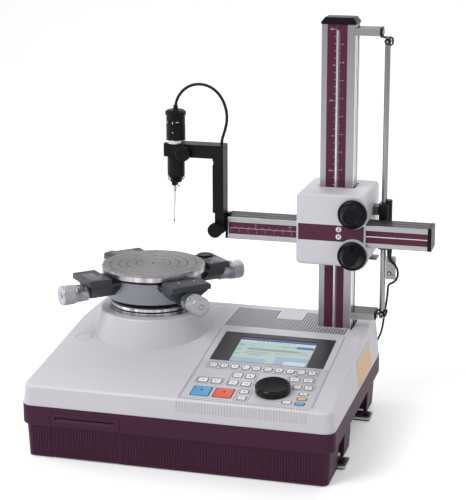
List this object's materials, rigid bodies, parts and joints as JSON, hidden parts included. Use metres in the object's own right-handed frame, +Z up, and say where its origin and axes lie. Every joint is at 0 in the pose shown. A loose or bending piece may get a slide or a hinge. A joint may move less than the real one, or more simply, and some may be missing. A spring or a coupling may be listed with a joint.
{
  "type": "roundness tester",
  "caption": "Bench roundness tester with a rotating measuring table on a moulded base, a column, and a cross arm that holds a detector with a fine stylus.",
  "frame": {"origin": "bottom centre of the whole instrument, on the surface it stands on", "axes": "+Z up along the column and the table's axis, +X to the right of the operator, +Y to the rear"},
  "size_m": [0.524, 0.3652, 0.5843],
  "materials": {
    "purple_plastic": "fine texture",
    "cover_plastic": "fine texture",
    "casting": "painted",
    "bright_steel": "turned",
    "black_metal": "satin",
    "rubber": "matte",
    "board": "satin",
    "screen_glass": "gloss",
    "key_sheet": "satin",
    "black_plastic": "satin",
    "aluminium": "satin anodised",
    "scale_strip": "satin",
    "satin_silver": "satin",
    "grey_paint": "fine texture",
    "ground_steel": "turned",
    "cable_rubber": "satin"
  },
  "bodies": {
    "root": {"base_skirt": "purple_plastic", "top_cover": "cover_plastic", "bed_casting": "casting", "spindle_housing": "bright_steel", "spindle_bearings": "bright_steel", "drive_motor": "black_metal", "drive_belt": "rubber", "control_board": "board", "display_panel": "screen_glass", "keypad_overlay": "key_sheet", "dial_encoder": "black_plastic", "printer_unit": "black_plastic", "feet": "rubber", "hold_down_tabs": "bright_steel", "tab_bolts": "black_metal", "column": "aluminium", "column_strips": "scale_strip", "column_rack": "bright_steel", "column_cap": "black_plastic", "rod_brackets": "aluminium", "rod_joints": "black_metal", "scale_rod": "bright_steel", "power_inlet": "black_plastic"},
    "spindle": {"spindle_shaft": "bright_steel", "spindle_pulley": "aluminium"},
    "motor_rotor": {"motor_pulley": "aluminium"},
    "cross_slide_body": {"cross_slide": "black_metal"},
    "housing": {"table_housing": "satin_silver", "centering_block_front": "grey_paint", "centering_block_right": "grey_paint", "leveling_block_left": "grey_paint", "leveling_block_rear": "grey_paint"},
    "front_screw": {"centering_knob_front": "satin_silver"},
    "right_screw": {"centering_knob_right": "satin_silver"},
    "left_screw": {"leveling_knob_left": "satin_silver"},
    "rear_screw": {"leveling_knob_rear": "satin_silver"},
    "gimbal": {"gimbal_ring": "black_metal"},
    "table": {"table_top": "ground_steel"},
    "carriage": {"carriage_shell": "cover_plastic", "carriage_back": "cover_plastic", "carriage_frame": "aluminium", "scale_head": "black_plastic", "cable_clamp": "bright_steel", "head_cable": "cable_rubber"},
    "z_drive": {"z_knob": "black_plastic", "z_pinion": "bright_steel"},
    "x_drive": {"x_knob": "black_plastic", "x_pinion": "bright_steel"},
    "arm": {"arm_beam": "aluminium", "arm_strips": "scale_strip", "arm_rack": "bright_steel", "arm_end_caps": "black_plastic", "detector_holder": "black_metal", "detector_cable": "cable_rubber"},
    "clamp_screw": {"clamp_knob": "black_plastic"},
    "holder_screw": {"holder_knob": "black_plastic"},
    "detector": {"detector_body": "black_metal"},
    "stylus_body": {"stylus": "bright_steel"},
    "dial": {"jog_dial": "black_plastic"},
    "door": {"printer_door": "purple_plastic"}
  },
  "joints": [
    {"name": "turntable_spin", "type": "hinge", "parent": "root", "child": "spindle", "pos_m": [-0.142, 0.048, 0.17], "axis": [0, 0, 1], "continuous": true},
    {"name": "motor_turn", "type": "hinge", "parent": "root", "child": "motor_rotor", "pos_m": [-0.072, -0.047, 0.015], "axis": [0, 0, 1], "continuous": true},
    {"name": "centering_x", "type": "slide", "parent": "spindle", "child": "cross_slide_body", "axis": [0.7071, -0.7071, 0], "range_m": [-0.003, 0.003]},
    {"name": "centering_y", "type": "slide", "parent": "cross_slide_body", "child": "housing", "axis": [0.7071, 0.7071, 0], "range_m": [-0.003, 0.003]},
    {"name": "front_screw_turn", "type": "hinge", "parent": "housing", "child": "front_screw", "pos_m": [-0.142, 0.048, 0.197], "axis": [0.7071, -0.7071, 0], "range_deg": [-2162, 2162]},
    {"name": "right_screw_turn", "type": "hinge", "parent": "housing", "child": "right_screw", "pos_m": [-0.142, 0.048, 0.197], "axis": [0.7071, 0.7071, 0], "range_deg": [-2162, 2162]},
    {"name": "left_screw_turn", "type": "hinge", "parent": "housing", "child": "left_screw", "pos_m": [-0.142, 0.048, 0.197], "axis": [-0.7071, -0.7071, 0], "range_deg": [-758, 758]},
    {"name": "rear_screw_turn", "type": "hinge", "parent": "housing", "child": "rear_screw", "pos_m": [-0.142, 0.048, 0.197], "axis": [-0.7071, 0.7071, 0], "range_deg": [-758, 758]},
    {"name": "tilt_a", "type": "hinge", "parent": "housing", "child": "gimbal", "pos_m": [-0.142, 0.048, 0.209], "axis": [0.7071, -0.7071, 0], "range_deg": [-1, 1]},
    {"name": "tilt_b", "type": "hinge", "parent": "gimbal", "child": "table", "pos_m": [-0.142, 0.048, 0.209], "axis": [0.7071, 0.7071, 0], "range_deg": [-1, 1]},
    {"name": "z_carriage", "type": "slide", "parent": "root", "child": "carriage", "axis": [0, 0, 1], "range_m": [-0.036, 0.212]},
    {"name": "z_knob_turn", "type": "hinge", "parent": "carriage", "child": "z_drive", "pos_m": [0.153, 0.028, 0.319], "axis": [0, -1, 0], "range_deg": [-208, 1216]},
    {"name": "x_arm", "type": "slide", "parent": "carriage", "child": "arm", "axis": [1, 0, 0], "range_m": [-0.057, 0.097]},
    {"name": "x_knob_turn", "type": "hinge", "parent": "carriage", "child": "x_drive", "pos_m": [0.1535, 0.028, 0.2595], "axis": [0, 1, 0], "range_deg": [-328, 557]},
    {"name": "detector_turn", "type": "hinge", "parent": "arm", "child": "detector", "pos_m": [-0.1056, 0.048, 0.396], "axis": [0, 0, 1], "range_deg": [-90, 90]},
    {"name": "stylus_swing", "type": "hinge", "parent": "detector", "child": "stylus_body", "pos_m": [-0.1075, 0.048, 0.3462], "axis": [0, 1, 0], "range_deg": [-45, 45]},
    {"name": "clamp_screw_turn", "type": "hinge", "parent": "arm", "child": "clamp_screw", "pos_m": [-0.089, 0.03, 0.3936], "axis": [0, -1, 0], "range_deg": [0, 360]},
    {"name": "holder_screw_turn", "type": "hinge", "parent": "arm", "child": "holder_screw", "pos_m": [-0.0422, 0.03, 0.286], "axis": [0, -1, 0], "range_deg": [0, 360]},
    {"name": "dial_turn", "type": "hinge", "parent": "root", "child": "dial", "pos_m": [0.081, -0.126, 0.11066], "axis": [0, -0.1386, 0.9903], "continuous": true},
    {"name": "door_swing", "type": "hinge", "parent": "root", "child": "door", "pos_m": [-0.169, -0.163, 0.006], "axis": [1, 0, 0], "range_deg": [0, 60]}
  ],
  "couplings": [
    {"joint": "motor_turn", "follows": "turntable_spin", "ratio": 3},
    {"joint": "front_screw_turn", "follows": "centering_x", "rad_per_m": 12566},
    {"joint": "right_screw_turn", "follows": "centering_y", "rad_per_m": 12566},
    {"joint": "left_screw_turn", "follows": "tilt_a", "ratio": -754},
    {"joint": "rear_screw_turn", "follows": "tilt_b", "ratio": 754},
    {"joint": "z_knob_turn", "follows": "z_carriage", "rad_per_m": 100},
    {"joint": "x_knob_turn", "follows": "x_arm", "rad_per_m": 100}
  ]
}
